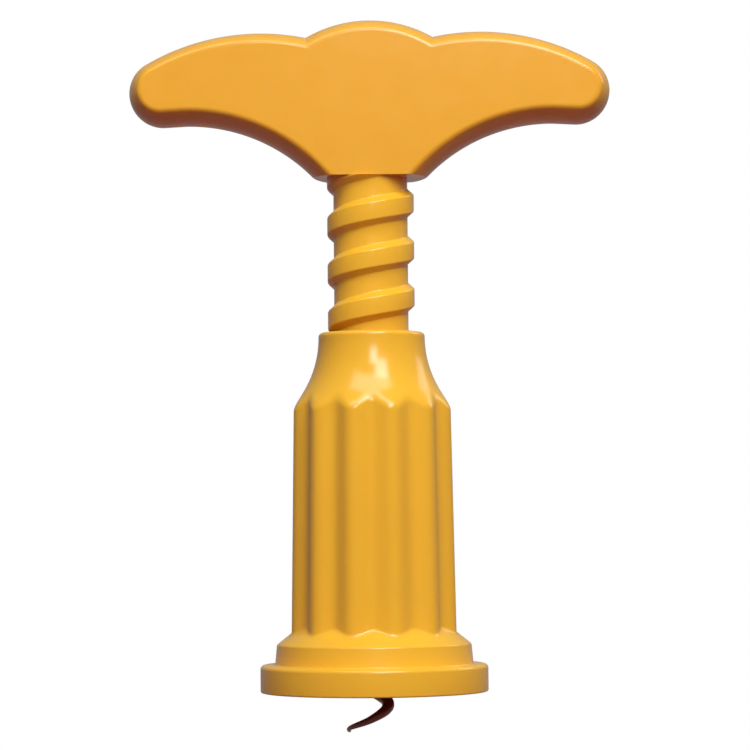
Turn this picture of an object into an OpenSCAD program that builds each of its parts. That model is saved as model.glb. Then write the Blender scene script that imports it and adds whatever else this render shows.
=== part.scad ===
// T-handle corkscrew: a fluted barrel that sits on the bottle's mouth, a coarse-threaded spindle that
// screws down through it, a wire worm below and a moulded cross handle on top.
// Millimetres, +Z up. The origin is on the axis, at the underside of the base. The spindle is raised.

/* [Barrel] */
// Height of the barrel, from its underside to the lip
barrel_h = 75.7; // [72:0.1:84]
// Outside diameter of the neck at the lip
neck_d = 22.5; // [22:0.1:24]
// Radius of the hollow sweep from the neck to the grip
flare_r = 22; // [20:0.5:26]
// Rounding of the lip's outer edge
lip_round = 0.9; // [0.3:0.1:1]
// Diameter over the ridges at the top of the grip
grip_top_d = 34; // [33.6:0.1:36]
// Diameter over the ridges at the foot of the grip
grip_foot_d = 35.6; // [35:0.1:37.4]
// Number of flutes round the grip
flutes = 12; // [8:1:14]
// Depth of a flute below the ridges
flute_depth = 1.45; // [0.6:0.05:1.8]
// Radius of the hollow of a flute
flute_r = 6.6; // [5.4:0.1:9]
// Diameter of the step above the flange
step_d = 41.6; // [40:0.1:44]
// Height of the top of the step
step_h = 10; // [8.6:0.05:12]
// Slope of the cone between the step and the grip, in degrees
cone_slope = 38.5; // [25:0.5:50]
// Diameter of the flange that stands on the bottle
flange_d = 48; // [46:0.5:56]
// Height of the flange
flange_h = 5.8; // [5:0.05:7.5]
// Rounding of the flange's upper edge
flange_round = 0.9; // [0.3:0.1:1.4]
// Rounding of the small outer edges
edge_round = 0.35; // [0.2:0.05:0.6]

/* [Bottle and cork] */
// Bore that takes the cork
bore_d = 26; // [25:0.1:27]
// Socket that goes over the bottle's mouth
socket_d = 31.2; // [30.4:0.1:32.4]
// Depth of the socket, up to the ledge
socket_depth = 8.6; // [7:0.1:11]
// Width of the lead-in at the socket's mouth
socket_lead_in = 0.8; // [0.4:0.1:1.2]
// Thickness of the soft ring against the ledge
seat_t = 1.6; // [1:0.1:2.4]

/* [Underside] */
// Wall round the socket
socket_wall = 2.4; // [1.6:0.1:2.8]
// Wall of the flange's skirt
skirt_wall = 2.5; // [1.6:0.1:3]
// Thickness left above the hollow underside
recess_roof = 2.2; // [1.6:0.05:3]
// Number of ribs across the hollow underside
ribs = 12; // [6:1:16]
// Thickness of a rib
rib_t = 1.6; // [1:0.1:2.4]

/* [Thread] */
// Lead of the thread and of the worm: the advance in one turn
lead = 10; // [9:0.5:11]
// Diameter of the spindle between the turns of its thread
core_d = 15.7; // [15:0.1:16]
// Diameter over the thread
crest_d = 18.4; // [18:0.1:18.6]
// Width of the thread's flat crest
crest_w = 3.6; // [3:0.1:4.2]
// Width that each sloping flank adds
flank_w = 1.2; // [0.8:0.1:1.5]
// Clearance between spindle and nut, all round the thread
thread_clear = 0.25; // [0.2:0.05:0.35]
// Distance from the handle's underside to the first crest on the +X side
thread_drop = 5.3; // [3:0.05:8]
// Clearance between the thread's crest and the hole in the lip
lip_clear = 0.3; // [0.2:0.05:0.4]

/* [Nut and guide] */
// Outside diameter of the nut's body
nut_d = 21.8; // [21.4:0.1:22.4]
// Length of the nut's body
nut_len = 11.5; // [9:0.5:13]
// Thickness of the nut's flange
nut_flange_t = 1.5; // [1.2:0.1:2]
// Wall left above the nut, up to the lip
nut_cover = 7.7; // [7:0.1:10]
// Length of the guide bush
guide_len = 5.6; // [4:0.1:8]
// Diameter of the spindle's journal in the guide bush
journal_d = 12; // [11:0.1:13]
// Width of the keys on the nut and the guide bush
key_w = 3; // [2:0.1:4]
// Height of the keys above the bore's wall
key_h = 1.1; // [0.8:0.1:1.4]
// Gap at a stop between parts that move
stop_gap = 0.35; // [0.3:0.05:0.6]
// Radial clearance of a running fit
run_clear = 0.07; // [0.04:0.01:0.1]
// Radial clearance of a fixed fit
fix_clear = 0.05; // [0:0.01:0.1]
// Thickness of the retaining ring
ring_t = 0.8; // [0.6:0.1:1.2]
// Height of the retaining ring above its groove's floor
ring_h = 2.4; // [2:0.1:3]
// Opening of the retaining ring
ring_gap = 8.4; // [6:0.1:10]
// Depth of the retaining ring's groove
ring_groove = 0.8; // [0.5:0.1:1]
// Length of the spindle's end below the ring
spindle_end = 1.7; // [1.2:0.1:3]

/* [Worm] */
// Diameter of the worm's wire
wire_d = 2.6; // [2.2:0.1:3]
// Outside diameter of the worm
worm_d = 8.3; // [8:0.1:10]
// How far the worm's point stands below the base, with the spindle raised
tip_drop = 8.3; // [4:0.1:10]
// Radius of the wire's middle at the point, which is bent outwards
tip_reach = 5.7; // [4.5:0.1:6]
// Direction of the point, in degrees anticlockwise from +X
tip_turn = 160; // [0:5:355]
// Thickness of the point's blunt end
tip_d = 0.7; // [0.5:0.1:1]
// Diameter of the worm's straight shank
shank_d = 2.4; // [2:0.05:2.45]
// Depth of the worm's shank in the spindle
shank_depth = 28; // [22:0.5:34]
// Diameter of the cross pin that holds the shank
pin_d = 1.6; // [1.2:0.1:1.8]
// Length of the cross pin
pin_len = 13; // [11:0.5:14]
// Height of the cross pin above the spindle's lower end
pin_rise = 18; // [12:0.5:20]

/* [Handle] */
// Gap between the handle and the lip, with the spindle raised
lift = 32.8; // [30:0.05:36]
// Length of the handle, tip to tip
handle_span = 102; // [97:0.1:108]
// Thickness of the handle, front to back
handle_t = 16.4; // [16:0.1:18]
// Radius of the swell of the handle's sides, from front to back
side_r = 15; // [14:0.5:22]
// Rounding of the edge between the handle's sides and its faces
rim_round = 1.3; // [0.8:0.1:1.6]
// Height of the middle crown above the handle's underside
crown_h = 33.6; // [33:0.05:35]
// Radius of the middle crown
crown_r = 27; // [24:0.5:32]
// Height of a wing's top above the handle's underside
wing_h = 31; // [29.6:0.1:31.8]
// Distance of a wing's top from the axis
wing_x = 23.3; // [22:0.1:25]
// Radius of a wing's upper edge
wing_r = 48; // [44:0.5:52]
// Radius of a wing's rounded end
end_r = 7.1; // [6.4:0.1:7.6]
// Radius of the hollow under a wing
flank_r = 37; // [35:0.5:39]
// Distance from the axis to where the hollow is highest
flank_x = 38.7; // [37.8:0.1:39.6]
// Height of the hollow's highest point above the handle's underside
flank_h = 11.5; // [10.6:0.1:12.2]
// Rounding of the corner where a hollow meets the handle's underside
foot_round = 1.5; // [0.6:0.1:2]
// Wall of the handle's shells
shell_wall = 2.2; // [1.8:0.1:2.6]

/* [Handle fixings] */
// Diameter of the spindle's round spigot in the handle's underside
seat_d = 14.8; // [14.2:0.1:15]
// Depth of that spigot
seat_rise = 1.3; // [0.8:0.1:1.6]
// Thickness of the handle's floor over the seat
floor_t = 2.6; // [2:0.1:3.4]
// Width of the spindle's neck through the floor
neck_w = 12; // [10:0.1:13]
// Width of the spindle's head above the floor
head_w = 21; // [20:0.5:22]
// Height of the spindle's head
head_h = 16; // [13:0.5:17]
// Thickness of the spindle's head, front to back
head_t = 6; // [5:0.1:7]
// Distance of the two hub screws from the axis
hub_screw_x = 6.4; // [5.4:0.1:6.8]
// Distance of the two wing screws from the axis
wing_screw_x = 33; // [30:0.5:35]
// Height of the wing screws above the handle's underside
wing_screw_h = 20.4; // [19:0.1:21.5]
// Diameter of a screw's shank
screw_d = 3; // [2.6:0.1:3.2]
// Diameter of a screw's head
screw_head_d = 5.6; // [5:0.1:5.8]
// Height of a screw's head
screw_head_h = 1.9; // [1.5:0.1:2.1]
// Clearance all round a screw in its hole
screw_clear = 0.1; // [0.05:0.05:0.2]
// Width of the crossed slots in a screw's head
slot_w = 0.7; // [0.5:0.05:0.9]
// Length of those slots
slot_len = 3.4; // [2.6:0.1:4]
// Depth of those slots
slot_depth = 0.95; // [0.6:0.05:1.1]
// Depth of a screw head's top below the back of the handle
screw_sink = 0.5; // [0.2:0.1:0.8]
// Skin left in front of a screw's point
screw_skin = 1.3; // [1:0.1:1.6]
// Wall of a boss round its screw
boss_wall = 1.4; // [1.2:0.1:1.8]

/* [Hidden] */

$fn = 96;
cut = 1; // how far a cutting body runs past the face that it cuts
bite = 0.4; // how far a boss, key or spigot reaches into what carries it
overrun = 15; // how far a thread is drawn past a face that cuts it off
thread_steps = 48; // flats round one turn of the thread
fade_steps = 24; // steps over which the thread rises to its full height
thread_room = 0.4; // least height between an end face of the rod and its thread
side_steps = 4; // steps of the swell of the handle's sides
round_steps = 4; // steps of the rounding on the handle's edges
foot_steps = 3; // steps of the corner at the foot of the handle
flank_steps = 14;
end_steps = 14;
wing_steps = 16;
crown_steps = 6;
least_round = 0.1; // a corner that is drawn in keeps at least this radius

// The barrel
neck_r = neck_d / 2;
flange_r = flange_d / 2;
step_r = step_d / 2;
bore_r = bore_d / 2;
socket_r = socket_d / 2;
grip_foot_z = step_h + (step_r - grip_foot_d / 2) * tan(cone_slope);
grip_top_z = barrel_h - lip_round
  - sqrt(pow(flare_r, 2) - pow(neck_r + flare_r - grip_top_d / 2, 2));
grip_taper = atan((grip_foot_d - grip_top_d) / 2 / (grip_top_z - grip_foot_z));
flute_pitch = 360 / flutes;
key_angle = 270 + flute_pitch * 1.5; // under a ridge, where the wall is thickest
key_clear = 2 * run_clear; // clearance all round a key

// The nut and the guide bush, from the top down
nut_top = barrel_h - nut_cover;
nut_seat = nut_top - nut_len;
nut_bottom = nut_seat - nut_flange_t;
guide_top = nut_bottom - stop_gap;
guide_bottom = guide_top - guide_len;
ring_top = guide_bottom - stop_gap;
ring_bottom = ring_top - ring_t;
spindle_bottom = ring_bottom - spindle_end;

// The spindle and the handle
core_r = core_d / 2;
crest_r = crest_d / 2;
base_w = crest_w + 2 * flank_w;
journal_r = journal_d / 2;
thread_bottom = guide_top + run_clear;
handle_z = barrel_h + lift;
thread_start = handle_z - thread_drop;
head_z = handle_z + seat_rise + floor_t;
hub_screw_z = head_z + head_h / 2;

// The handle's screws run along Y, with their heads at the back
half_t = handle_t / 2;
wall_y = half_t - shell_wall;
rim_y = half_t - rim_round;
rim_start = asin(rim_y / (side_r - rim_round)); // turn at which the swell meets the rounding
rim_in = side_r - (side_r - rim_round) * cos(rim_start);
wall_in = side_r - sqrt(side_r * side_r - wall_y * wall_y); // how far the side has come in where the hollow ends
head_seat_y = half_t - screw_sink - screw_head_h;
screw_end_y = -(half_t - screw_skin);
screw_places = [
  for (side = [-1, 1]) [side * hub_screw_x, hub_screw_z],
  for (side = [-1, 1]) [side * wing_screw_x, handle_z + wing_screw_h]
];

// The worm
wire_r = wire_d / 2;
worm_r = worm_d / 2 - wire_r;
wire_sides = 10;
wire_steps = 20; // rings of the wire in one turn
taper_angle = 195; // turn over which the point is ground to its taper
flare_angle = 110; // turn over which the point bends outwards
gather_angle = 200; // turn over which the wire comes in to the axis
worm_angle = 360 * (spindle_bottom - wire_d / 2 + tip_drop) / lead;
worm_rings = ceil(worm_angle / 360 * wire_steps);

function clamp01(t) = max(0, min(1, t));
function ease(t) = let (u = clamp01(t)) u * u * (3 - 2 * u);

// Radius of the grip's ridges at a height
function ridge_r(z) = grip_foot_d / 2 - (z - grip_foot_z) * tan(grip_taper);

// A rod with a right-hand thread, from z0 to z1, whose thread fades in and out at its ends.
// Each step of the thread has four corners. Corner 4 of a step is corner 0, one turn further on.
module threaded_rod(core_r, crest_r, base_w, crest_w, z0, z1) {
  corners = [[0, -base_w / 2], [1, -crest_w / 2], [1, crest_w / 2], [0, base_w / 2]];
  n = len(corners);
  steps = thread_steps;
  first = ceil((z0 - thread_start + base_w / 2 + thread_room) / lead * steps);
  last = floor((z1 - thread_start - lead + base_w / 2 - thread_room) / lead * steps);
  count = last - first;
  function turn(k) = 360 * (k + first) / steps;
  function height(k) = (crest_r - core_r) * clamp01(min(k, count - k) / fade_steps);
  function place(r, k, z) = [r * cos(turn(k)), r * sin(turn(k)), z];
  function corner(k, i) = place(core_r + corners[i][0] * height(k), k,
    thread_start + corners[i][1] + lead * turn(k) / 360);
  function rim(z, k0) = [for (k = [k0:k0 + steps - 1]) place(core_r, k, z)];
  tail = (count + 1) * n;
  low = tail + steps;
  high = low + steps;
  function at(k, i) = i == n ? at(k + steps, 0) : k <= count ? k * n + i : tail + k - count - 1;
  points = concat(
    [for (k = [0:count], i = [0:n - 1]) corner(k, i)],
    [for (k = [count + 1:count + steps]) corner(k, 0)],
    rim(z0, 0),
    rim(z1, count));
  band = [for (k = [0:count - 1], i = [0:n - 1])
    [at(k, i), at(k, i + 1), at(k + 1, i + 1), at(k + 1, i)]];
  skirt = [for (k = [0:steps - 2]) [low + k, at(k, 0), at(k + 1, 0), low + k + 1]];
  skirt_seam = concat(
    [low + steps - 1, at(steps - 1, 0), at(steps, 0)],
    [for (i = [n - 1:-1:0]) at(0, i)],
    [low]);
  collar = [for (k = [1:steps - 1])
    [at(count + k, 0), high + k, high + (k + 1) % steps, at(count + k + 1, 0)]];
  collar_seam = concat(
    [high, high + 1, at(count + 1, 0)],
    [for (i = [0:n]) at(count, i)]);
  ends = [[for (k = [0:steps - 1]) low + k], [for (k = [steps - 1:-1:0]) high + k]];
  polyhedron(points, concat(band, skirt, [skirt_seam], collar, [collar_seam], ends));
}

// A disc's half section, from z0 up to z1, with a rounded upper edge
module disc_section(r, z0, z1, edge_r) {
  translate([0, z0]) square([r, z1 - z0 - edge_r]);
  translate([0, z0]) square([r - edge_r, z1 - z0]);
  translate([r - edge_r, z1 - edge_r]) circle(edge_r);
}

module base_section() {
  inner_r = grip_foot_d / 2 - flute_depth - cut;
  inner_z = step_h + (step_r - inner_r) * tan(cone_slope);
  disc_section(flange_r, edge_round, flange_h, flange_round);
  mirror([0, 1]) disc_section(flange_r, -flange_h / 2, 0, edge_round);
  polygon([[0, flange_h / 2], [step_r, flange_h / 2], [step_r, step_h], [inner_r, inner_z], [0, inner_z]]);
}

module grip_section() {
  flare_z = barrel_h - lip_round;
  difference() {
    union() {
      polygon([[0, flange_h], [ridge_r(flange_h), flange_h], [ridge_r(flare_z), flare_z], [0, flare_z]]);
      disc_section(neck_r, flange_h, barrel_h, lip_round);
    }
    translate([neck_r + flare_r, flare_z]) circle(flare_r, $fn = 180);
  }
}

module flute_cutters() {
  for (i = [0:flutes - 1]) {
    rotate([0, 0, 270 + i * flute_pitch])
      translate([ridge_r(flange_h) - flute_depth + flute_r, 0, flange_h])
        rotate([0, -grip_taper, 0])
          cylinder(r = flute_r, h = barrel_h);
  }
}

// Two keys or two keyways, on opposite sides of the bore
module keys(r, width, z0, z1) {
  r0 = bore_r - bite;
  for (side = [0, 180]) {
    rotate([0, 0, key_angle + side])
      translate([r0, -width / 2, z0])
        cube([r - r0, width, z1 - z0]);
  }
}

// The hollow underside of the flange, crossed by ribs
module underside_recess() {
  r0 = socket_r + socket_wall;
  r1 = flange_r - skirt_wall;
  roof = flange_h - recess_roof;
  difference() {
    translate([0, 0, -cut]) cylinder(r = r1, h = roof + cut);
    translate([0, 0, -2 * cut]) cylinder(r = r0, h = roof + 4 * cut);
    for (i = [0:ribs - 1]) {
      rotate([0, 0, 360 / ribs * (i + 0.5)])
        translate([0, -rib_t / 2, -2 * cut])
          cube([flange_r, rib_t, roof + 4 * cut]);
    }
  }
}

module barrel() {
  color("orange") difference() {
    union() {
      difference() {
        rotate_extrude() grip_section();
        flute_cutters();
      }
      rotate_extrude() base_section();
    }
    translate([0, 0, -cut]) cylinder(r = crest_r + lip_clear, h = barrel_h + 2 * cut);
    translate([0, 0, -cut]) cylinder(r = nut_d / 2 + fix_clear, h = nut_top + cut);
    translate([0, 0, -cut]) cylinder(r = bore_r, h = nut_seat + cut);
    translate([0, 0, -cut]) cylinder(r = socket_r, h = socket_depth + cut);
    translate([0, 0, -socket_lead_in])
      cylinder(r1 = socket_r + 2 * socket_lead_in, r2 = socket_r, h = 2 * socket_lead_in);
    keys(bore_r + key_h + key_clear, key_w + 2 * key_clear, socket_depth - cut, nut_seat);
    underside_recess();
  }
}

module thread_nut() {
  color("ivory") difference() {
    union() {
      translate([0, 0, nut_seat - bite]) cylinder(r = nut_d / 2, h = nut_len + bite);
      translate([0, 0, nut_bottom]) cylinder(r = bore_r - run_clear, h = nut_flange_t);
      keys(bore_r + key_h, key_w, nut_bottom, nut_seat);
    }
    threaded_rod(core_r + thread_clear, crest_r + thread_clear, base_w + 2 * thread_clear,
      crest_w + 2 * thread_clear, nut_bottom - overrun, nut_top + overrun);
  }
}

module bottle_seat_ring() {
  color("dimgray") translate([0, 0, socket_depth - seat_t]) difference() {
    cylinder(r = socket_r, h = seat_t);
    translate([0, 0, -cut]) cylinder(r = bore_r, h = seat_t + 2 * cut);
  }
}

module guide_bush() {
  color("ivory") difference() {
    union() {
      translate([0, 0, guide_bottom]) cylinder(r = bore_r - run_clear, h = guide_len);
      keys(bore_r + key_h, key_w, guide_bottom, guide_top);
    }
    translate([0, 0, guide_bottom - cut]) cylinder(r = journal_r + run_clear, h = guide_len + 2 * cut);
  }
}

// The spindle's neck and head, which the handle's shells close over
module spindle_head() {
  translate([-neck_w / 2, -head_t / 2, handle_z]) cube([neck_w, head_t, seat_rise + floor_t + cut]);
  translate([-head_w / 2, -head_t / 2, head_z]) cube([head_w, head_t, head_h]);
}

module spindle() {
  color("orange") difference() {
    union() {
      intersection() {
        threaded_rod(core_r, crest_r, base_w, crest_w, thread_bottom, handle_z + overrun);
        cylinder(r = 2 * crest_r, h = handle_z);
      }
      translate([0, 0, handle_z - bite]) cylinder(d = seat_d, h = seat_rise + bite);
      translate([0, 0, spindle_bottom]) cylinder(r = journal_r, h = thread_bottom + bite - spindle_bottom);
      spindle_head();
    }
    translate([0, 0, ring_bottom]) difference() {
      cylinder(r = journal_r + cut, h = ring_t);
      cylinder(r = journal_r - ring_groove, h = ring_t);
    }
    translate([0, 0, spindle_bottom - cut]) cylinder(d = shank_d, h = shank_depth + cut);
    cross_bar(pin_d / 2 + fix_clear, crest_d + 2 * cut);
    for (side = [-1, 1]) {
      translate([side * hub_screw_x, head_t, hub_screw_z])
        rotate([90, 0, 0])
          cylinder(d = screw_d + 2 * screw_clear, h = 2 * head_t);
    }
  }
}

// The worm's wire, ring by ring from the point upwards. Its path comes in to the axis at the top.
function worm_turn(k) = worm_angle * k / worm_rings;
function worm_wire_r(a) = tip_d / 2 + (wire_r - tip_d / 2) * clamp01(a / taper_angle);
function worm_point(a) = let (
    bent = worm_r + (tip_reach - worm_r) * (1 - ease(a / flare_angle)),
    r = bent * ease((worm_angle - a) / gather_angle))
  [r * cos(a + tip_turn), r * sin(a + tip_turn), lead * a / 360 - tip_drop];
function unit(v) = v / norm(v);

module worm_helix() {
  function along(a) = a >= worm_angle ? [0, 0, 1] : unit(worm_point(a + 1) - worm_point(a - 1));
  function out(a) = let (t = along(a), v = [cos(a + tip_turn), sin(a + tip_turn), 0]) unit(v - (v * t) * t);
  function ring(a) = let (u = out(a), w = cross(along(a), u))
    [for (i = [0:wire_sides - 1]) let (turn = 360 * i / wire_sides)
      worm_point(a) + worm_wire_r(a) * (cos(turn) * u + sin(turn) * w)];
  n = wire_sides;
  points = [for (k = [0:worm_rings]) each ring(worm_turn(k))];
  sides = [for (k = [0:worm_rings - 1], i = [0:n - 1]) let (
      low = k * n,
      high = low + n,
      j = (i + 1) % n)
    each [[low + i, high + i, high + j], [low + i, high + j, low + j]]];
  ends = [[for (i = [0:n - 1]) i], [for (i = [n - 1:-1:0]) worm_rings * n + i]];
  polyhedron(points, concat(sides, ends));
}

module worm() {
  shank_z = lead * worm_angle / 360 - tip_drop;
  color("#2b1512") difference() {
    union() {
      worm_helix();
      translate([0, 0, shank_z]) cylinder(d = shank_d, h = spindle_bottom + shank_depth - shank_z);
    }
    cross_bar(pin_d / 2 + fix_clear, crest_d + 2 * cut);
  }
}

module cross_bar(r, length) {
  translate([0, 0, spindle_bottom + pin_rise])
    rotate([0, 90, 0])
      cylinder(r = r, h = length, center = true);
}

module worm_pin() {
  color("silver") cross_bar(pin_d / 2, pin_len);
}

module retaining_ring() {
  color("silver") translate([0, 0, ring_bottom]) difference() {
    cylinder(r = journal_r - ring_groove + ring_h, h = ring_t);
    translate([0, 0, -cut]) cylinder(r = journal_r - ring_groove, h = ring_t + 2 * cut);
    translate([-ring_gap / 2, -journal_d, -cut]) cube([ring_gap, journal_d, ring_t + 2 * cut]);
  }
}

// The handle's outline in X and height above its flat foot, drawn in by d all round but at the foot.
// An arc after the first leaves out its first point, which is the last one of the arc before.
function arc(c, r, a0, a1, steps, skip = 0) = [for (i = [skip:steps]) let (a = a0 + (a1 - a0) * i / steps)
  c + r * [cos(a), sin(a)]];
function upper_crossing(c0, r0, c1, r1) = let (
    gap = norm(c1 - c0),
    near = (r0 * r0 - r1 * r1 + gap * gap) / (2 * gap),
    off = sqrt(r0 * r0 - near * near),
    u = (c1 - c0) / gap)
  c0 + near * u + off * [-u[1], u[0]];
function right_outline(d) = let (
    foot_r = max(foot_round - d, least_round),
    flank_c = [flank_x, flank_h - flank_r],
    foot_a = asin((foot_r - flank_c[1]) / (flank_r + d + foot_r)),
    foot_c = flank_c + (flank_r + d + foot_r) * [-cos(foot_a), sin(foot_a)],
    wing_c = [wing_x, wing_h - wing_r],
    end_a = acos((handle_span / 2 - end_r - wing_x) / (wing_r - end_r)),
    end_c = wing_c + (wing_r - end_r) * [cos(end_a), sin(end_a)],
    crown_c = [0, crown_h - crown_r],
    valley = upper_crossing(crown_c, crown_r - d, wing_c, wing_r - d),
    to_wing = valley - wing_c,
    to_crown = valley - crown_c)
  concat(
    arc(foot_c, foot_r, 270, 360 - foot_a, foot_steps),
    arc(flank_c, flank_r + d, 180 - foot_a, 90, flank_steps, 1),
    arc(end_c, end_r - d, 270, 360 + end_a, end_steps),
    arc(wing_c, wing_r - d, end_a, atan2(to_wing[1], to_wing[0]), wing_steps, 1),
    arc(crown_c, crown_r - d, atan2(to_crown[1], to_crown[0]), 90, crown_steps, 1));
function outline(d) = let (right = right_outline(d), n = len(right))
  concat(right, [for (i = [n - 2:-1:0]) [-right[i][0], right[i][1]]]);

// The front half of the handle's outside: swelled sides, then a tighter rounding up to the flat face.
// Each layer is how far it is drawn in, and its distance in front of the seam.
outer_layers = concat(
  [for (k = [0:side_steps]) let (a = rim_start * k / side_steps) [side_r * (1 - cos(a)), side_r * sin(a)]],
  [for (k = [1:round_steps]) let (a = rim_start + (90 - rim_start) * k / round_steps)
    [rim_in - rim_round * cos(a), rim_y + rim_round * sin(a)]]);
// Its hollow follows the sides, but stays upright beside the spindle's head.
hollow_layers = [[shell_wall, -cut], [shell_wall, head_t / 2], [shell_wall + wall_in, wall_y]];

// A closed solid through such layers.
// Each flat end is a strip that joins the lower edge to the upper one, with a triangle in the middle.
module drawn_block(layers) {
  top = len(right_outline(0)) - 1;
  n = 2 * top + 1;
  last = len(layers) - 1;
  points = [for (layer = layers) each [for (p = outline(layer[0])) [p[0], -layer[1], handle_z + p[1]]]];
  sides = [for (k = [0:last - 1], i = [0:n - 1]) let (j = (i + 1) % n)
    [k * n + j, k * n + i, (k + 1) * n + i, (k + 1) * n + j]];
  function other(i) = i == top ? top : 2 * top - i;
  strip = [for (i = [0:top / 2 - 1]) each [[i, i + 1, top - i], [i + 1, top - i - 1, top - i]]];
  whole_strip = [for (t = strip) if (t[0] != t[1]) t];
  end = concat(
    [[0, top, 2 * top]],
    whole_strip,
    [for (t = whole_strip) [other(t[0]), other(t[2]), other(t[1])]]);
  back = [for (t = end) [for (i = t) last * n + i]];
  polyhedron(points, concat(sides, end, [for (t = back) [t[2], t[1], t[0]]]));
}

// One half of the handle, hollow, with its floor over the spindle and its four bosses
module shell(boss_r) {
  difference() {
    union() {
      difference() {
        drawn_block(outer_layers);
        difference() {
          drawn_block(hollow_layers);
          translate([-handle_span / 2, -half_t, handle_z]) cube([handle_span, handle_t, head_z - handle_z]);
        }
      }
      for (i = [0:len(screw_places) - 1]) {
        boss_end = i < 2 ? head_t / 2 : 0;
        translate([screw_places[i][0], -boss_end, screw_places[i][1]])
          rotate([90, 0, 0])
            cylinder(r = boss_r, h = wall_y - boss_end + bite);
      }
    }
    translate([0, 0, handle_z - cut]) cylinder(r = seat_d / 2 + fix_clear, h = seat_rise + cut);
    translate([-neck_w / 2 - fix_clear, -head_t / 2 - fix_clear, handle_z])
      cube([neck_w + 2 * fix_clear, head_t, head_z - handle_z + cut]);
  }
}

module handle_front_shell() {
  color("orange") difference() {
    shell(screw_d / 2 + boss_wall);
    for (place = screw_places) {
      translate([place[0], cut, place[1]])
        rotate([90, 0, 0])
          cylinder(d = screw_d, h = cut - screw_end_y + fix_clear);
    }
  }
}

module handle_back_shell() {
  color("orange") difference() {
    mirror([0, 1, 0]) shell(screw_head_d / 2 + boss_wall);
    for (place = screw_places) {
      translate([place[0], half_t + cut, place[1]]) rotate([90, 0, 0]) {
        cylinder(d = screw_d + 2 * screw_clear, h = half_t + 2 * cut);
        cylinder(d = screw_head_d + 2 * screw_clear, h = half_t + cut - head_seat_y);
      }
    }
  }
}

module handle_screws() {
  color("silver") for (place = screw_places) {
    translate([place[0], head_seat_y + screw_head_h, place[1]]) rotate([90, 0, 0]) difference() {
      union() {
        cylinder(d = screw_head_d, h = screw_head_h);
        cylinder(d = screw_d, h = head_seat_y + screw_head_h - screw_end_y);
      }
      for (turn = [45, 135]) {
        rotate([0, 0, turn])
          cube([slot_len, slot_w, 2 * slot_depth], center = true);
      }
    }
  }
}

barrel();
thread_nut();
bottle_seat_ring();
guide_bush();
spindle();
worm();
worm_pin();
retaining_ring();
handle_front_shell();
handle_back_shell();
handle_screws();
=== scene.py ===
import math

import bmesh
import bpy
from mathutils import Matrix, Vector


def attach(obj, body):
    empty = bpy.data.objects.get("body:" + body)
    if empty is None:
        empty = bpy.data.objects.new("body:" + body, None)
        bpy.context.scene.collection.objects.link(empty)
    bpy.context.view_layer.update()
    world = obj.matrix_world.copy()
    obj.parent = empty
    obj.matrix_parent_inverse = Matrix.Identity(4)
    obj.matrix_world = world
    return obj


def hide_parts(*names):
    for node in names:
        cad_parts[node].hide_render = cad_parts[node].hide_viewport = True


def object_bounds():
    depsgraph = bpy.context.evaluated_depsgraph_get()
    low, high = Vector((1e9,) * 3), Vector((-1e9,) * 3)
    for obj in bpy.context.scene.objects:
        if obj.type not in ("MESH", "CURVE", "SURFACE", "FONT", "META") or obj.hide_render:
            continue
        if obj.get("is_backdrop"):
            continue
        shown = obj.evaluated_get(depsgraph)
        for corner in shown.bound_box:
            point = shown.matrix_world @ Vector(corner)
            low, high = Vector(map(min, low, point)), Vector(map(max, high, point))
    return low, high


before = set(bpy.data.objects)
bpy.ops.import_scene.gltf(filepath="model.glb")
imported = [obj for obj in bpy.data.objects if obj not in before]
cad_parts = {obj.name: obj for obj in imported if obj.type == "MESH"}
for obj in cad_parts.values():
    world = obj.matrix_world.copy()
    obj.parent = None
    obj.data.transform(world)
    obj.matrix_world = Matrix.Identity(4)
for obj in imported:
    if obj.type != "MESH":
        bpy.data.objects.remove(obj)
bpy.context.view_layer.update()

# The t-handle corkscrew with its mouldings, wire, rings and screws at full detail.
# Sections and shapes are drawn in millimetres, with +Z up along the screw's axis, and become
# metres at the end. The photograph looks along +Y, so -Y is the front.

MM = 0.001
WELD = 0.0005
FILLET_STEP = 12

# Barrel
barrel_h = 75.7
neck_r = 11.25
flare_r = 22.0
lip_round = 0.9
grip_top_r = 17.0
grip_foot_r = 17.8
flutes = 12
flute_depth = 1.45
shoulder_blend = 1.1
cone_blend = 0.7
first_flute = 270
step_foot_r = 20.9
step_top_r = 20.5
step_h = 10.0
cone_slope = 38.5
flange_r = 24.0
flange_h = 5.8
flange_round = 0.9
edge_round = 0.35
bore_r = 13.0
socket_r = 15.6
socket_depth = 8.6
socket_lead_in = 0.8
seat_t = 1.6
socket_wall = 2.4
skirt_wall = 2.5
recess_roof = 2.2
ribs = 12
rib_t = 1.6
nut_r = 10.95
nut_top = 68.0
nut_seat = 56.5
lip_hole_r = 9.5
key_angles = (135, 315)
key_w = 3.0
key_h = 1.1
key_clear = 0.14

# Spindle, guide and rings
lead = 10.0
core_r = 7.85
crest_r = 9.2
crest_w = 3.6
base_w = 6.0
crest_height = 83.2
journal_r = 6.0
run_clear = 0.07
guide_top = 54.65
guide_bottom = 49.05
ring_top = 48.7
ring_bottom = 47.9
ring_groove = 0.8
ring_h = 2.4
ring_gap = 8.4
spindle_bottom = 46.2
thread_bottom = 54.72

# Worm and its pin
worm_travel = 32.5
wire_r = 1.3
worm_r = 2.85
tip_drop = 8.3
tip_reach = 5.7
tip_turn = 160
tip_r = 0.35
taper_angle = 195
flare_angle = 110
gather_angle = 200
worm_angle = 360 * (spindle_bottom - wire_r + tip_drop) / lead
shank_r = 1.2
shank_depth = 28.0
pin_r = 0.8
pin_len = 13.0
pin_height = spindle_bottom + 18.0

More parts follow.
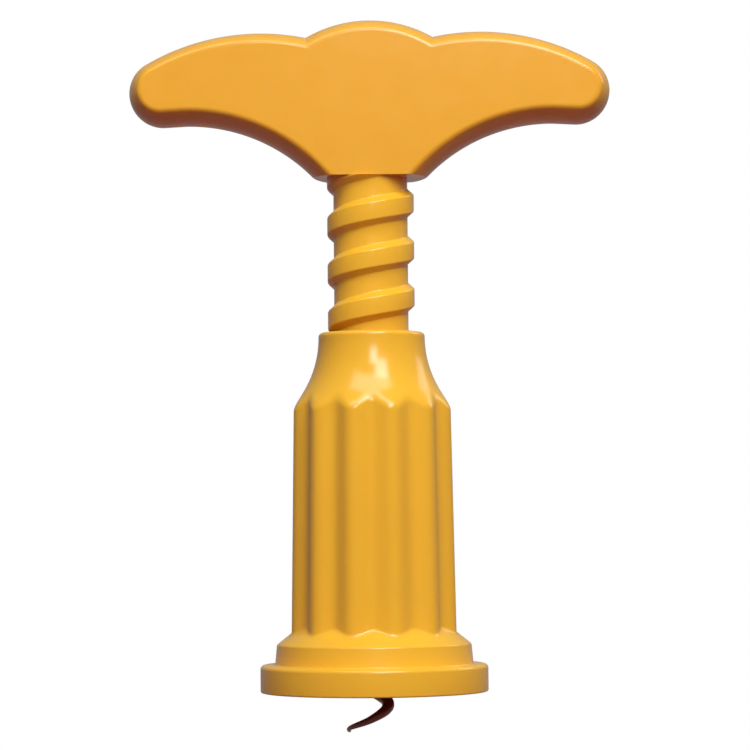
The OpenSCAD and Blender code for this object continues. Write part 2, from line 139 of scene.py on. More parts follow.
# Handle
handle_z = 108.5
handle_span = 102.0
half_t = 8.2
side_r = 15.0
rim_round = 1.3
seam_bevel = 0.16
crown_h = 33.6
crown_r = 27.0
wing_h = 31.0
wing_x = 23.3
wing_r = 48.0
end_r = 7.1
flank_r = 37.0
flank_x = 38.7
flank_h = 11.5
foot_round = 1.5
least_round = 0.1
shell_wall = 2.2
seat_r = 7.4
seat_rise = 1.3
floor_t = 2.6
neck_w = 12.0
head_w = 21.0
head_h = 16.0
head_t = 6.0
fix_clear = 0.05
head_z = handle_z + seat_rise + floor_t
screw_places = [(-6.4, head_z + head_h / 2), (6.4, head_z + head_h / 2),
                (-33.0, handle_z + 20.4), (33.0, handle_z + 20.4)]
screw_r = 1.5
screw_head_r = 2.8
screw_head_h = 1.9
screw_sink = 0.5
screw_clear = 0.1
screw_tip_y = -6.9
boss_wall = 1.4


# Shapes

def filleted(corners, closed=True):
    """A section's outline with rounded corners, each given as (radius, height, rounding)."""
    outline = []
    for i, (r, z, rounding) in enumerate(corners):
        here = Vector((r, z))
        at_end = not closed and i in (0, len(corners) - 1)
        if rounding == 0 or at_end:
            outline.append(here)
            continue
        back = (Vector(corners[i - 1][:2]) - here).normalized()
        ahead = (Vector(corners[(i + 1) % len(corners)][:2]) - here).normalized()
        half = back.angle(ahead) / 2
        centre = here + (back + ahead).normalized() * rounding / math.sin(half)
        start = here + back * rounding / math.tan(half) - centre
        turn = start.angle_signed(here + ahead * rounding / math.tan(half) - centre)
        steps = max(3, round(abs(math.degrees(turn)) / FILLET_STEP))
        outline += [centre + Matrix.Rotation(-turn * k / steps, 2) @ start
                    for k in range(steps + 1)]
    return outline


def lathe(outline, steps=144, closed=True):
    """A turned solid from a half section in (radius, height)."""
    bm = bmesh.new()
    verts = [bm.verts.new((point[0], 0, point[1])) for point in outline]
    edges = [bm.edges.new(pair) for pair in zip(verts, verts[1:])]
    if closed:
        edges.append(bm.edges.new((verts[-1], verts[0])))
    bmesh.ops.spin(bm, geom=verts + edges, cent=(0, 0, 0), axis=(0, 0, 1), dvec=(0, 0, 0),
                   angle=2 * math.pi, space=Matrix(), steps=steps, use_merge=True)
    bmesh.ops.remove_doubles(bm, verts=bm.verts, dist=WELD)
    bmesh.ops.recalc_face_normals(bm, faces=bm.faces)
    return bm


def block(low, high, edge=0.0):
    """A box between two corners, with rounded edges if they are asked for."""
    bm = bmesh.new()
    bmesh.ops.create_cube(bm, size=1)
    low, high = Vector(low), Vector(high)
    bmesh.ops.scale(bm, vec=high - low, verts=bm.verts)
    bmesh.ops.translate(bm, vec=(low + high) / 2, verts=bm.verts)
    if edge:
        bmesh.ops.bevel(bm, geom=bm.edges, offset=edge, offset_type="OFFSET", affect="EDGES",
                        segments=2, profile=0.5, material=-1)
    return bm


def turned(bm, degrees, axis="Z"):
    turn = Matrix.Rotation(math.radians(degrees), 3, axis)
    bmesh.ops.rotate(bm, cent=(0, 0, 0), matrix=turn, verts=bm.verts)
    return bm


def moved(bm, offset):
    bmesh.ops.translate(bm, vec=offset, verts=bm.verts)
    return bm


def add(bm, other):
    """Puts another solid into the same piece, beside what is already there."""
    mesh = bpy.data.meshes.new("part")
    other.to_mesh(mesh)
    other.free()
    bm.from_mesh(mesh)
    bpy.data.meshes.remove(mesh)


def carve(bm, other):
    """Cuts another solid out of this one, exactly."""
    objects = []
    for source in (bm, other):
        mesh = bpy.data.meshes.new("blank")
        source.to_mesh(mesh)
        source.free()
        blank = bpy.data.objects.new("blank", mesh)
        bpy.context.scene.collection.objects.link(blank)
        objects.append(blank)
    cut = objects[0].modifiers.new("cut", "BOOLEAN")
    cut.operation = "DIFFERENCE"
    cut.solver = "EXACT"
    cut.object = objects[1]
    graph = bpy.context.evaluated_depsgraph_get()
    result = bpy.data.meshes.new_from_object(objects[0].evaluated_get(graph))
    carved = bmesh.new()
    carved.from_mesh(result)
    bmesh.ops.remove_doubles(carved, verts=carved.verts, dist=2 * WELD)
    bmesh.ops.dissolve_degenerate(carved, dist=WELD, edges=carved.edges)
    bmesh.ops.holes_fill(carved, edges=[e for e in carved.edges if e.is_boundary], sides=0)
    bpy.data.meshes.remove(result)
    for blank in objects:
        mesh = blank.data
        bpy.data.objects.remove(blank)
        bpy.data.meshes.remove(mesh)
    return carved


def finished(name, bm, body, finish, node, crease=32):
    """Makes a piece of a shape drawn in millimetres, and lets it stand for its CAD node."""
    bmesh.ops.scale(bm, vec=(MM, MM, MM), verts=bm.verts)
    mesh = bpy.data.meshes.new(name)
    bm.to_mesh(mesh)
    bm.free()
    mesh.shade_smooth()
    mesh.set_sharp_from_angle(angle=math.radians(crease))
    mesh.materials.append(finish)
    piece = bpy.data.objects.new(name, mesh)
    bpy.context.scene.collection.objects.link(piece)
    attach(piece, body)
    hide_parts(node)


# Finishes

def paint(code):
    """The linear colour of an sRGB colour written as six hex digits."""
    channels = [int(code[i:i + 2], 16) / 255 for i in (0, 2, 4)]
    linear = [c / 12.92 if c <= 0.04045 else ((c + 0.055) / 1.055) ** 2.4 for c in channels]
    return linear + [1.0]


def per_mm(size):
    """The scale at which a pattern's features are about this many millimetres across."""
    return 1 / (size * MM)


def node(tree, kind, inputs=None, **settings):
    """Adds a node with its settings. Each input is a value, or the output it is linked to."""
    made = tree.nodes.new(kind)
    for key, value in settings.items():
        setattr(made, key, value)
    for key, value in (inputs or {}).items():
        if isinstance(value, bpy.types.NodeSocket):
            tree.links.new(value, made.inputs[key])
        else:
            made.inputs[key].default_value = value
    return made


def clouded_colour(tree, place, size, first, second, detail=2.0, even=0.0):
    """A colour that drifts between two, in clouds about this many millimetres across. It is
    one of the two where a cloud comes within the even share of its thinnest or thickest."""
    cloud = node(tree, "ShaderNodeTexNoise", {
        "Vector": place, "Scale": per_mm(size), "Detail": detail})
    share = node(tree, "ShaderNodeMapRange", {
        "Value": cloud.outputs["Fac"], "From Min": even, "From Max": 1 - even})
    mixed = node(tree, "ShaderNodeMix", {
        0: share.outputs["Result"], 6: paint(first), 7: paint(second)}, data_type="RGBA")
    return mixed.outputs[2]


def clouded_gloss(tree, place, size, low, high, detail=2.0):
    """A roughness that drifts between two values, in clouds about this many millimetres across."""
    cloud = node(tree, "ShaderNodeTexNoise", {
        "Vector": place, "Scale": per_mm(size), "Detail": detail})
    drift = node(tree, "ShaderNodeMapRange", {
        "Value": cloud.outputs["Fac"], "From Min": 0.3, "From Max": 0.7,
        "To Min": low, "To Max": high})
    return drift.outputs["Result"]


def relief(tree, place, layers):
    """Clouds laid on each other as bumps. Each layer is (size, depth, detail), in millimetres."""
    normal = None
    for size, depth, detail in layers:
        cloud = node(tree, "ShaderNodeTexNoise", {
            "Vector": place, "Scale": per_mm(size), "Detail": detail})
        inputs = {"Height": cloud.outputs["Fac"], "Distance": depth * MM, "Strength": 1.0}
        if normal:
            inputs["Normal"] = normal
        normal = node(tree, "ShaderNodeBump", inputs).outputs["Normal"]
    return normal


def new_finish(name, colour, gloss, bumps, stretch=None, **sockets):
    """A material with one shader: its even values, and clouds in its colour, its roughness and
    its relief, all in the piece's own coordinates. The relief's clouds may be stretched."""
    material = bpy.data.materials.new(name)
    material.use_nodes = True
    tree = material.node_tree
    shader = next(n for n in tree.nodes if n.type == "BSDF_PRINCIPLED")
    for key, value in sockets.items():
        shader.inputs[key.replace("_", " ")].default_value = value
    place = node(tree, "ShaderNodeTexCoord").outputs["Object"]
    links = {"Base Color": clouded_colour(tree, place, *colour),
             "Roughness": clouded_gloss(tree, place, *gloss)}
    if stretch:
        mapping = node(tree, "ShaderNodeMapping", {"Vector": place, "Scale": stretch})
        place = mapping.outputs["Vector"]
    links["Normal"] = relief(tree, place, bumps)
    for key, output in links.items():
        tree.links.new(output, shader.inputs[key])
    return material


def glossy_amber(name, first, second):
    """Moulded amber plastic. A little light goes through it, and its gloss follows flow waves,
    slight sinks and a fine grain."""
    return new_finish(
        name, colour=(26.0, first, second, 2.0, 0.35), gloss=(5.0, 0.17, 0.22),
        bumps=[(7.0, 0.02, 1.0), (2.2, 0.003, 2.0), (0.22, 0.0006, 1.0)],
        IOR=1.5, Specular_IOR_Level=0.4, Subsurface_Weight=0.2, Subsurface_Scale=0.0005,
        Subsurface_Radius=(1.0, 0.45, 0.12))


# The handle is of a slightly deeper batch than the barrel and the spindle.
amber = glossy_amber("glossy_amber", "F4BA32", "F6BD34")
deep_amber = glossy_amber("deep_amber", "F0AF30", "F2B132")

# Self-coloured bearing plastic: an ivory with a low, even sheen.
ivory = new_finish(
    "bearing_ivory", colour=(9.0, "E6E0CE", "EDE8DA"), gloss=(1.5, 0.38, 0.48),
    bumps=[(0.3, 0.002, 2.0)], IOR=1.48, Subsurface_Weight=0.15, Subsurface_Scale=0.002,
    Subsurface_Radius=(1.0, 0.8, 0.6))

# Moulded rubber: nearly black and dull, with a fine skin.
rubber = new_finish(
    "soft_rubber", colour=(3.0, "191918", "22211F"), gloss=(0.8, 0.6, 0.78),
    bumps=[(0.35, 0.012, 3.0)], IOR=1.52)

# The slick coating baked on the wire: a dark red-brown, redder where it is thin, that ripples
# slightly under a soft gloss.
coating = new_finish(
    "slick_coating", colour=(2.4, "7A3C2C", "9C5240", 3.0), gloss=(0.9, 0.24, 0.36),
    bumps=[(0.8, 0.01, 2.0)], IOR=1.38, Coat_Weight=0.4, Coat_Roughness=0.12, Coat_IOR=1.45)

# Zinc-plated steel: a satin face, cloudy where the plating took unevenly, with fine scratches.
zinc = new_finish(
    "zinc_steel", colour=(1.6, "B9BBBC", "D2D3D1", 3.0), gloss=(0.5, 0.26, 0.42, 3.0),
    bumps=[(0.6, 0.004, 3.0)], stretch=(1.0, 9.0, 1.0), Metallic=1.0)


# Barrel

flare_z = barrel_h - lip_round
grip_foot_z = step_h + (step_foot_r - 0.1 - grip_foot_r) * math.tan(math.radians(cone_slope))
grip_top_z = flare_z - math.sqrt(flare_r ** 2 - (neck_r + flare_r - grip_top_r) ** 2)


def softly(low, high, reach):
    """The lesser of two radii, with the corner between them rounded over this reach."""
    share = max(0.0, min(1.0, 0.5 + 0.5 * (high - low) / reach))
    return high + (low - high) * share - reach * share * (1 - share)


def swept_radius(z):
    """The hollow sweep from the neck out to the shoulder."""
    below = min(flare_z - z, flare_r * 0.98)
    return neck_r + flare_r - math.sqrt(flare_r ** 2 - max(below, 0.0) ** 2)


def cone_radius(z):
    return step_top_r - (z - step_h) / math.tan(math.radians(cone_slope))


def grip_radius(angle, z):
    """The grip's outside: soft ridges and flutes that run out on the shoulder above and on the
    cone below."""
    ridge = grip_foot_r - ((z - grip_foot_z) * (grip_foot_r - grip_top_r)
                           / (grip_top_z - grip_foot_z))
    hollow = 0.5 + 0.5 * math.cos(flutes * (angle - math.radians(first_flute)))
    wall = softly(ridge - flute_depth * hollow, swept_radius(z), shoulder_blend)
    return -softly(-cone_radius(z), -wall, cone_blend)


def barrel_moulding():
    """The barrel, turned through heights that lie close together where the flutes run out."""
    fine_step = 0.22
    sweep_step = 0.8
    cone_heights = [10.5 + fine_step * i for i in range(17)]
    grip_heights = [15.5, 19, 25, 32, 39, 46, 52, 55.5]
    shoulder_heights = [57.2 + fine_step * i for i in range(32)]
    sweep_heights = [64.6 + sweep_step * i for i in range(13)]
    wall = [(cone_radius(z), z, 0) for z in cone_heights if cone_radius(z) > grip_foot_r]
    wall += [(grip_foot_r, z, 0) for z in cone_heights if cone_radius(z) <= grip_foot_r]
    wall += [(grip_foot_r, z, 0) for z in grip_heights]
    wall += [(min(grip_top_r, swept_radius(z)), z, 0) for z in shoulder_heights + sweep_heights]
    section = filleted([
        (socket_r, socket_lead_in, 0.4),
        (socket_r, socket_depth, 0.2),
        (bore_r, socket_depth, 0.3),
        (bore_r, nut_seat, 0.1),
        (nut_r, nut_seat, 0.1),
        (nut_r, nut_top, 0.1),
        (lip_hole_r, nut_top, 0.15),
        (lip_hole_r, barrel_h, 0.3),
        (neck_r, barrel_h, lip_round),
    ] + wall[::-1] + [
        (step_top_r, step_h, 0.55),
        (step_foot_r, flange_h, 0.3),
        (flange_r, flange_h, flange_round),
        (flange_r, 0, edge_round),
        (flange_r - skirt_wall, 0, 0.25),
        (flange_r - skirt_wall, flange_h - recess_roof, 0.4),
        (socket_r + socket_wall, flange_h - recess_roof, 0.4),
        (socket_r + socket_wall, 0, 0.25),
        (socket_r + socket_lead_in, 0, 0.15),
    ])
    bm = lathe(section, steps=24 * flutes)
    for vert in bm.verts:
        out = vert.co.xy.length
        in_grip = cone_heights[0] - 0.01 < vert.co.z < shoulder_heights[-1] + 0.01
        if in_grip and out > bore_r + 0.6:
            angle = math.atan2(vert.co.y, vert.co.x)
            vert.co.xy *= grip_radius(angle, vert.co.z) / out
    keyways = bmesh.new()
    for angle in key_angles:
        half_w = key_w / 2 + key_clear
        slot = block((bore_r - 1, -half_w, socket_depth - 0.6),
                     (bore_r + key_h + key_clear, half_w, nut_seat - 0.05))
        add(keyways, turned(slot, angle))
    bm = carve(bm, keyways)
    for i in range(ribs):
        rib = block((socket_r + socket_wall - 0.3, -rib_t / 2, 0.15),
                    (flange_r - skirt_wall + 0.3, rib_t / 2, flange_h - recess_roof + 0.3),
                    edge=0.2)
        add(bm, turned(rib, 360 / ribs * (i + 0.5)))
    return bm


finished("barrel_moulding", barrel_moulding(), "barrel", amber, "barrel")


# Bottle seat ring, with a raised bead that beds on the bottle's mouth

def seat_ring():
    low = socket_depth - seat_t
    return lathe(filleted([
        (bore_r, socket_depth, 0.1),
        (bore_r, low + 0.3, 0.3),
        (bore_r + 0.8, low + 0.3, 0.15),
        (bore_r + 1.0, low, 0.2),
        (socket_r - 1.0, low, 0.2),
        (socket_r - 0.8, low + 0.3, 0.15),
        (socket_r, low + 0.3, 0.15),
        (socket_r, socket_depth, 0.1),
    ]))


finished("seat_ring", seat_ring(), "barrel", rubber, "bottle_seat_ring")


# Guide bush with its two keys

def keyed_bush():
    bm = lathe(filleted([
        (journal_r + run_clear, guide_bottom, 0.3),
        (journal_r + run_clear, guide_top, 0.3),
        (bore_r - run_clear, guide_top, 0.4),
        (bore_r - run_clear, guide_bottom, 0.4),
    ]))
    for angle in key_angles:
        key = block((bore_r - 0.6, -key_w / 2, guide_bottom),
                    (bore_r + key_h, key_w / 2, guide_top), edge=0.2)
        add(bm, turned(key, angle))
    return bm


finished("keyed_bush", keyed_bush(), "guide", ivory, "guide_bush")

cad_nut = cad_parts["thread_nut"]
cad_nut.data.materials.clear()
cad_nut.data.materials.append(ivory)


# Spindle

def threaded_rod(low, high):
    """The coarse right-hand thread, from one turned pitch that climbs by the lead in every turn."""
    section = filleted([
        (core_r, -lead / 2, 0),
        (core_r, -base_w / 2, 0.45),
        (crest_r, -crest_w / 2, 0.5),
        (crest_r, crest_w / 2, 0.5),
        (core_r, base_w / 2, 0.45),
        (core_r, lead / 2, 0),
    ], closed=False)
    steps = 72
    turns = 8
    bm = bmesh.new()
    start = crest_height - turns // 2 * lead
    verts = [bm.verts.new((r, 0, start + z)) for r, z in section]
    edges = [bm.edges.new(pair) for pair in zip(verts, verts[1:])]
    bmesh.ops.spin(bm, geom=verts + edges, cent=(0, 0, 0), axis=(0, 0, 1),
                   dvec=(0, 0, lead / steps), angle=2 * math.pi * turns, space=Matrix(),
                   steps=steps * turns, use_merge=False)
    bmesh.ops.remove_doubles(bm, verts=bm.verts, dist=0.004)
    for vert in bm.verts:
        rise = max(0.0, min(1.0, (vert.co.z - low - 0.4) / (lead / 2)))
        out = vert.co.xy.length
        vert.co.xy *= (core_r + (out - core_r) * rise) / out
    for height, above in ((low, False), (high, True)):
        whole = list(bm.verts) + list(bm.edges) + list(bm.faces)
        cut = bmesh.ops.bisect_plane(bm, geom=whole, dist=WELD,
                                     plane_co=(0, 0, height), plane_no=(0, 0, 1),
                                     clear_outer=above, clear_inner=not above)
        rim = [e for e in cut["geom_cut"] if isinstance(e, bmesh.types.BMEdge)]
        bmesh.ops.edgeloop_fill(bm, edges=rim)
    bmesh.ops.recalc_face_normals(bm, faces=bm.faces)
    return bm


def spindle_moulding():
    bm = threaded_rod(thread_bottom, handle_z)
    groove_r = journal_r - ring_groove
    add(bm, lathe(filleted([
        (shank_r, thread_bottom + 0.5, 0),
        (shank_r, spindle_bottom, 0.25),
        (journal_r, spindle_bottom, 0.5),
        (journal_r, ring_bottom, 0.1),
        (groove_r, ring_bottom, 0.1),
        (groove_r, ring_top, 0.1),
        (journal_r, ring_top, 0.1),
        (journal_r, thread_bottom + 0.5, 0),
    ])))
    spigot_foot = handle_z - 0.4
    add(bm, lathe(filleted([
        (0, spigot_foot, 0), (seat_r, spigot_foot, 0),
        (seat_r, handle_z + seat_rise, 0.2), (0, handle_z + seat_rise, 0),
    ], closed=False), closed=False))
    head = block((-head_w / 2, -head_t / 2, head_z),
                 (head_w / 2, head_t / 2, head_z + head_h), edge=0.6)
    hole_r = screw_r + screw_clear
    for x, z in screw_places[:2]:
        drill = lathe([(0, -head_t), (hole_r, -head_t), (hole_r, head_t), (0, head_t)],
                      steps=48, closed=False)
        head = carve(head, moved(turned(drill, 90, "X"), (x, 0, z)))
    add(bm, block((-neck_w / 2, -head_t / 2, handle_z),
                  (neck_w / 2, head_t / 2, head_z + 0.8), edge=0.3))
    add(bm, head)
    return bm


finished("spindle_moulding", spindle_moulding(), "handle", amber, "spindle")


# Worm, its pin and the retaining ring

def ease(share):
    share = max(0.0, min(1.0, share))
    return share * share * (3 - 2 * share)


def worm_place(angle):
    """The middle of the worm's wire, from its point up to where it has come in to the axis."""
    coil = worm_r + (tip_reach - worm_r) * (1 - ease(angle / flare_angle))
    out = coil * ease((worm_angle - angle) / gather_angle)
    turn = math.radians(angle + tip_turn)
    return Vector((out * math.cos(turn), out * math.sin(turn), lead * angle / 360 - tip_drop))


def worm_wire():
    """The wire as a tube along its path: ground to a point below, and straight in the spindle
    above."""
    steps = 260
    path = []
    for k in range(steps + 1):
        angle = worm_angle * k / steps
        path.append((worm_place(angle), tip_r + (wire_r - tip_r) * min(1.0, angle / taper_angle)))
    tip = path[0][0]
    forward = (tip - worm_place(2)).normalized()
    rounded_point = [(0.32, 0.04), (0.26, 0.16), (0.14, 0.27)]
    path = [(tip + forward * ahead, radius) for ahead, radius in rounded_point] + path
    shank = [(-0.3, wire_r), (0.2, shank_r), (shank_depth - 0.4, shank_r),
             (shank_depth, shank_r - 0.3)]
    path += [(Vector((0, 0, spindle_bottom + rise)), radius) for rise, radius in shank]
    curve = bpy.data.curves.new("worm_path", "CURVE")
    curve.dimensions = "3D"
    curve.bevel_depth = 1.0
    curve.bevel_resolution = 7
    curve.use_fill_caps = True
    spline = curve.splines.new("POLY")
    spline.points.add(len(path) - 1)
    for point, (place, radius) in zip(spline.points, path):
        point.co = (*place, 1)
        point.radius = radius
    wire = bpy.data.objects.new("worm_path", curve)
    tube = bpy.data.meshes.new_from_object(wire)
    bm = bmesh.new()
    bm.from_mesh(tube)
    bpy.data.objects.remove(wire)
    bpy.data.curves.remove(curve)
    bpy.data.meshes.remove(tube)
    bmesh.ops.remove_doubles(bm, verts=bm.verts, dist=WELD)
    bmesh.ops.recalc_face_normals(bm, faces=bm.faces)
    return bm


def cross_pin():
    bm = lathe(filleted([
        (0, -pin_len / 2, 0), (pin_r, -pin_len / 2, 0.25),
        (pin_r, pin_len / 2, 0.25), (0, pin_len / 2, 0),
    ], closed=False), steps=48, closed=False)
    return moved(turned(bm, 90, "Y"), (0, 0, pin_height))


def open_ring():
    """The spring ring that snaps into the journal's groove, with its opening to the front."""
    inner_r = journal_r - ring_groove
    bm = lathe(filleted([
        (inner_r, ring_bottom, 0.12), (inner_r, ring_top, 0.12),
        (inner_r + ring_h, ring_top, 0.2), (inner_r + ring_h, ring_bottom, 0.12),
    ]))
    opening = block((-ring_gap / 2, -2 * journal_r, ring_bottom - 1),
                    (ring_gap / 2, 0, ring_top + 1))
    return carve(bm, opening)


finished("worm_wire", worm_wire(), "handle", coating, "worm", crease=60)
finished("cross_pin", cross_pin(), "handle", zinc, "worm_pin")
finished("open_ring", open_ring(), "handle", zinc, "retaining_ring")


# Handle

def arc(centre, radius, first, last, steps, skip=0):
    turns = [math.radians(first + (last - first) * i / steps) for i in range(skip, steps + 1)]
    return [(centre[0] + radius * math.cos(a), centre[1] + radius * math.sin(a)) for a in turns]


def right_outline(inset):
    """The right half of the handle's outline, in X and in height above its flat foot. It is
    drawn in by the inset everywhere but at the foot."""
    foot_r = max(foot_round - inset, least_round)
    flank_c = (flank_x, flank_h - flank_r)
    reach = flank_r + inset + foot_r
    foot_a = math.asin((foot_r - flank_c[1]) / reach)
    foot_c = (flank_c[0] - reach * math.cos(foot_a), flank_c[1] + reach * math.sin(foot_a))
    wing_c = (wing_x, wing_h - wing_r)
    end_a = math.acos((handle_span / 2 - end_r - wing_x) / (wing_r - end_r))
    end_c = (wing_c[0] + (wing_r - end_r) * math.cos(end_a),
             wing_c[1] + (wing_r - end_r) * math.sin(end_a))
    crown_c = (0, crown_h - crown_r)
    gap = Vector(wing_c) - Vector(crown_c)
    crown, wing = crown_r - inset, wing_r - inset
    near = (crown ** 2 - wing ** 2 + gap.length_squared) / (2 * gap.length)
    along = gap.normalized()
    across = Vector((-along.y, along.x))
    valley = Vector(crown_c) + near * along + math.sqrt(crown ** 2 - near ** 2) * across
    to_wing = valley - Vector(wing_c)
    to_crown = valley - Vector(crown_c)
    foot_a, end_a = math.degrees(foot_a), math.degrees(end_a)
    return (arc(foot_c, foot_r, 270, 360 - foot_a, 6)
            + arc(flank_c, flank_r + inset, 180 - foot_a, 90, 36, 1)
            + arc(end_c, end_r - inset, 270, 360 + end_a, 30)
            + arc(wing_c, wing, end_a, math.degrees(math.atan2(to_wing.y, to_wing.x)), 36, 1)
            + arc(crown_c, crown, math.degrees(math.atan2(to_crown.y, to_crown.x)),
                  90, 16, 1))


def handle_outline(inset, y):
    right = right_outline(inset)
    whole = right + [(-x, z) for x, z in right[-2::-1]]
    return [Vector((x, y, handle_z + z)) for x, z in whole]


def drawn_block(layers):
    """A solid that follows the handle's outline, extruded through layers of (inset, y)."""
    bm = bmesh.new()
    inset, y = layers[0]
    face = bm.faces.new([bm.verts.new(place) for place in handle_outline(inset, y)])
    for i, (inset, y) in enumerate(layers[1:]):
        out = bmesh.ops.extrude_face_region(bm, geom=[face])
        if i:
            bmesh.ops.delete(bm, geom=[face], context="FACES_ONLY")
        face = next(f for f in out["geom"] if isinstance(f, bmesh.types.BMFace))
        for vert, place in zip(face.verts, handle_outline(inset, y)):
            vert.co = place
    bmesh.ops.recalc_face_normals(bm, faces=bm.faces)
    return bm


def handle_half(side, boss_r):
    """A half of the handle: hollow, with a thick floor over the spindle and four bosses. Side -1
    is the front. Its sides swell from the seam to the rim, and the rim turns into the face."""
    swell_steps = 8
    rim_steps = 10
    face_inset = 0.35
    rim_y = half_t - rim_round
    rim_start = math.asin(rim_y / (side_r - rim_round))
    rim_in = side_r - (side_r - rim_round) * math.cos(rim_start)
    layers = [(seam_bevel, 0), (0, side * seam_bevel)]
    for k in range(1, swell_steps + 1):
        turn = rim_start * k / swell_steps
        layers.append((side_r * (1 - math.cos(turn)), side * side_r * math.sin(turn)))
    for k in range(1, rim_steps + 1):
        turn = rim_start + (math.pi / 2 - rim_start) * k / rim_steps
        layers.append((rim_in - rim_round * math.cos(turn),
                       side * (rim_y + rim_round * math.sin(turn))))
    layers.append((rim_in + face_inset, side * half_t))
    bm = drawn_block(layers)
    wall_y = half_t - shell_wall
    wall_in = side_r - math.sqrt(side_r ** 2 - wall_y ** 2)
    hollow = drawn_block([(shell_wall, -side), (shell_wall, side * head_t / 2),
                          (shell_wall + wall_in, side * wall_y)])
    hollow = carve(hollow, block((-60, -10, handle_z - 5), (60, 10, head_z)))
    for i, (x, z) in enumerate(screw_places):
        start = head_t / 2 if i < 2 else 0
        boss = lathe([(0, start), (boss_r, start), (boss_r, wall_y + 1), (0, wall_y + 1)],
                     steps=64, closed=False)
        hollow = carve(hollow, moved(turned(boss, -90 * side, "X"), (x, 0, z)))
    bm = carve(bm, hollow)
    seat = lathe([(0, handle_z - 1), (seat_r + fix_clear, handle_z - 1),
                  (seat_r + fix_clear, handle_z + seat_rise), (0, handle_z + seat_rise)],
                 steps=96, closed=False)
    bm = carve(bm, seat)
    neck = neck_w / 2 + fix_clear
    return carve(bm, block((-neck, -head_t / 2 - fix_clear, handle_z - 1),
                           (neck, head_t / 2 + fix_clear, head_z + 1)))


def front_half():
    """The front half, with a blind hole in each boss for a screw."""
    bm = handle_half(-1, screw_r + boss_wall)
    end = -screw_tip_y + fix_clear
    for x, z in screw_places:
        pilot = lathe([(0, -1), (screw_r, -1), (screw_r, end), (0, end)],
                      steps=48, closed=False)
        bm = carve(bm, moved(turned(pilot, 90, "X"), (x, 0, z)))
    return bm


def back_half():
    """The back half, whose four screw holes have sunk, chamfered mouths."""
    bm = handle_half(1, screw_head_r + boss_wall)
    hole_r = screw_r + screw_clear
    mouth_r = screw_head_r + screw_clear
    seat_y = half_t - screw_sink - screw_head_h
    for x, z in screw_places:
        drill = lathe([(0, -1), (hole_r, -1), (hole_r, seat_y), (mouth_r, seat_y),
                       (mouth_r, half_t - 0.25), (mouth_r + 0.5, half_t + 0.25),
                       (0, half_t + 0.25)], steps=72, closed=False)
        bm = carve(bm, moved(turned(drill, -90, "X"), (x, 0, z)))
    return bm


finished("handle_front", front_half(), "handle", deep_amber, "handle_front_shell")
finished("handle_back", back_half(), "handle", deep_amber, "handle_back_shell")


# Screws, with low domed heads and crossed recesses

def crossed_screw():
    """A screw that points down, with the seat of its head at height 0."""
    length = half_t - screw_sink - screw_head_h - screw_tip_y
    bm = lathe(filleted([
        (0, -length, 0),
        (screw_r * 0.55, -length, 0.2),
        (screw_r, -length + 1.1, 0.2),
        (screw_r, 0, 0.1),
        (screw_head_r, 0, 0.15),
        (screw_head_r, screw_head_h * 0.55, 0.7),
        (0, screw_head_h, 0),
    ], closed=False), steps=72, closed=False)
    for turn in (45, 135):
        arm = block((-1.7, -0.35, screw_head_h - 0.95), (1.7, 0.35, screw_head_h + 0.5))
        for vert in arm.verts:
            if vert.co.z < screw_head_h:
                vert.co.x *= 0.62
                vert.co.y *= 0.7
        bm = carve(bm, turned(arm, turn))
    return bm


def handle_screws():
    bm = bmesh.new()
    seat_y = half_t - screw_sink - screw_head_h
    for x, z in screw_places:
        add(bm, moved(turned(crossed_screw(), -90, "X"), (x, seat_y, z)))
    return bm


finished("crossed_screws", handle_screws(), "handle", zinc, "handle_screws")


# Floor, light and camera

def backdrop_seen(tree, gloss_share):
    """How much of the pale backdrop a ray sees: all of it from the camera or through a clear
    piece, and a share of it in a gloss."""
    path = node(tree, "ShaderNodeLightPath")
    straight = node(tree, "ShaderNodeMath", {
        0: path.outputs["Is Camera Ray"], 1: path.outputs["Is Transmission Ray"]},
        operation="MAXIMUM")
    gloss = node(tree, "ShaderNodeMath", {
        0: path.outputs["Is Glossy Ray"], 1: gloss_share}, operation="MULTIPLY")
    seen = node(tree, "ShaderNodeMath", {
        0: straight.outputs[0], 1: gloss.outputs[0]}, operation="MAXIMUM")
    return seen.outputs[0]


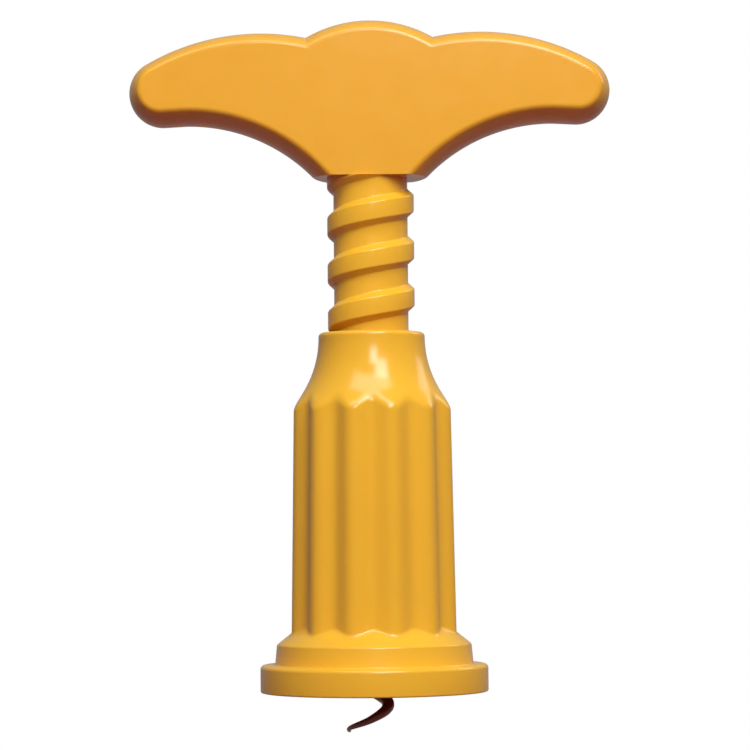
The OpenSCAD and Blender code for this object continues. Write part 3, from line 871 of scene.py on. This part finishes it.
def pale_floor(gloss_share):
    """A pale floor that keeps the shadow, as low as the worm's point comes when the handle is
    screwed down. Away from the piece it glows white, so that it has no edge."""
    half_side = 3.0
    glow_near = 0.45
    white_from, white_all = 0.08, 0.3
    bm = bmesh.new()
    bmesh.ops.create_grid(bm, x_segments=1, y_segments=1, size=half_side)
    bmesh.ops.translate(bm, vec=(0, 0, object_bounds()[0].z - worm_travel * MM), verts=bm.verts)
    mesh = bpy.data.meshes.new("floor")
    bm.to_mesh(mesh)
    bm.free()
    material = bpy.data.materials.new("pale_floor")
    material.use_nodes = True
    tree = material.node_tree
    tree.nodes.clear()
    place = node(tree, "ShaderNodeTexCoord").outputs["Object"]
    pale = node(tree, "ShaderNodeBsdfDiffuse", {
        "Color": clouded_colour(tree, place, 60.0, "F6F5F3", "F9F8F6")})
    glow = node(tree, "ShaderNodeEmission", {"Color": paint("FFFFFF"), "Strength": glow_near})
    bright = node(tree, "ShaderNodeAddShader", {0: pale.outputs[0], 1: glow.outputs[0]})
    white = node(tree, "ShaderNodeEmission", {"Color": paint("FFFFFF"), "Strength": 1.0})
    away = node(tree, "ShaderNodeVectorMath", {0: place}, operation="LENGTH").outputs["Value"]
    far = node(tree, "ShaderNodeMapRange", {
        "Value": away, "From Min": white_from, "From Max": white_all},
        interpolation_type="SMOOTHSTEP").outputs["Result"]
    pale_seen = node(tree, "ShaderNodeMixShader", {
        0: far, 1: bright.outputs[0], 2: white.outputs[0]})
    dim = node(tree, "ShaderNodeBsdfDiffuse", {"Color": paint("7C3C22")})
    mixed = node(tree, "ShaderNodeMixShader", {
        0: backdrop_seen(tree, gloss_share), 1: dim.outputs[0], 2: pale_seen.outputs[0]})
    node(tree, "ShaderNodeOutputMaterial", {"Surface": mixed.outputs[0]})
    mesh.materials.append(material)
    floor = bpy.data.objects.new("floor", mesh)
    bpy.context.scene.collection.objects.link(floor)
    floor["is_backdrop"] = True


def studio_world(fill, backdrop, gloss_share):
    """An even dim fill, and a pale backdrop where the camera or a reflection looks past the
    floor."""
    world = bpy.data.worlds.new("studio")
    bpy.context.scene.world = world
    world.use_nodes = True
    tree = world.node_tree
    tree.nodes.clear()
    around = node(tree, "ShaderNodeBackground", {"Color": paint("FFFFFF"), "Strength": fill})
    behind = node(tree, "ShaderNodeBackground", {"Color": paint("FFFFFF"), "Strength": backdrop})
    mixed = node(tree, "ShaderNodeMixShader", {
        0: backdrop_seen(tree, gloss_share), 1: around.outputs[0], 2: behind.outputs[0]})
    node(tree, "ShaderNodeOutputWorld", {"Surface": mixed.outputs[0]})


def softbox(name, azimuth, elevation, distance, width, height, power):
    """A white lamp turned to the middle of the piece. Azimuth 0 is the camera's side, and it
    grows to the right."""
    aim = Vector((0, 0, 0.075))
    data = bpy.data.lights.new(name, "AREA")
    data.shape = "RECTANGLE"
    data.size = width
    data.size_y = height
    data.energy = power
    lamp = bpy.data.objects.new(name, data)
    a, e = math.radians(azimuth), math.radians(elevation)
    out = Vector((math.sin(a) * math.cos(e), -math.cos(a) * math.cos(e), math.sin(e)))
    lamp.location = aim + out * distance
    lamp.rotation_euler = out.to_track_quat("Z", "Y").to_euler()
    bpy.context.scene.collection.objects.link(lamp)


def photo_camera():
    """The photograph's eye: level with the grip, a little over 600 mm in front, tilted up."""
    sensor, focal_px, photo_px = 36.0, 3017.2, 750
    tilt, roll, turn = 2.746, 0.5, -0.035
    data = bpy.data.cameras.new("photo_camera")
    data.sensor_width = sensor
    data.lens = sensor * focal_px / photo_px
    data.clip_start = 0.01
    camera = bpy.data.objects.new("photo_camera", data)
    camera.location = (0, -0.6378, 0.03615)
    camera.rotation_euler = (math.radians(90 + tilt), math.radians(roll), math.radians(turn))
    bpy.context.scene.collection.objects.link(camera)
    bpy.context.scene.camera = camera


pale_floor(gloss_share=0.3)
studio_world(fill=0.06, backdrop=1.0, gloss_share=0.3)
softbox("overhead_softbox", azimuth=-2, elevation=58, distance=1.1,
        width=1.12, height=0.42, power=7.0)
softbox("main_softbox", azimuth=21, elevation=40, distance=1.1,
        width=0.38, height=0.38, power=5.0)
softbox("front_softbox", azimuth=4, elevation=26, distance=1.1,
        width=0.24, height=0.34, power=3.4)
softbox("right_rim", azimuth=118, elevation=28, distance=1.2,
        width=0.4, height=0.5, power=1.6)
photo_camera()
bpy.context.scene.view_settings.view_transform = "Standard"
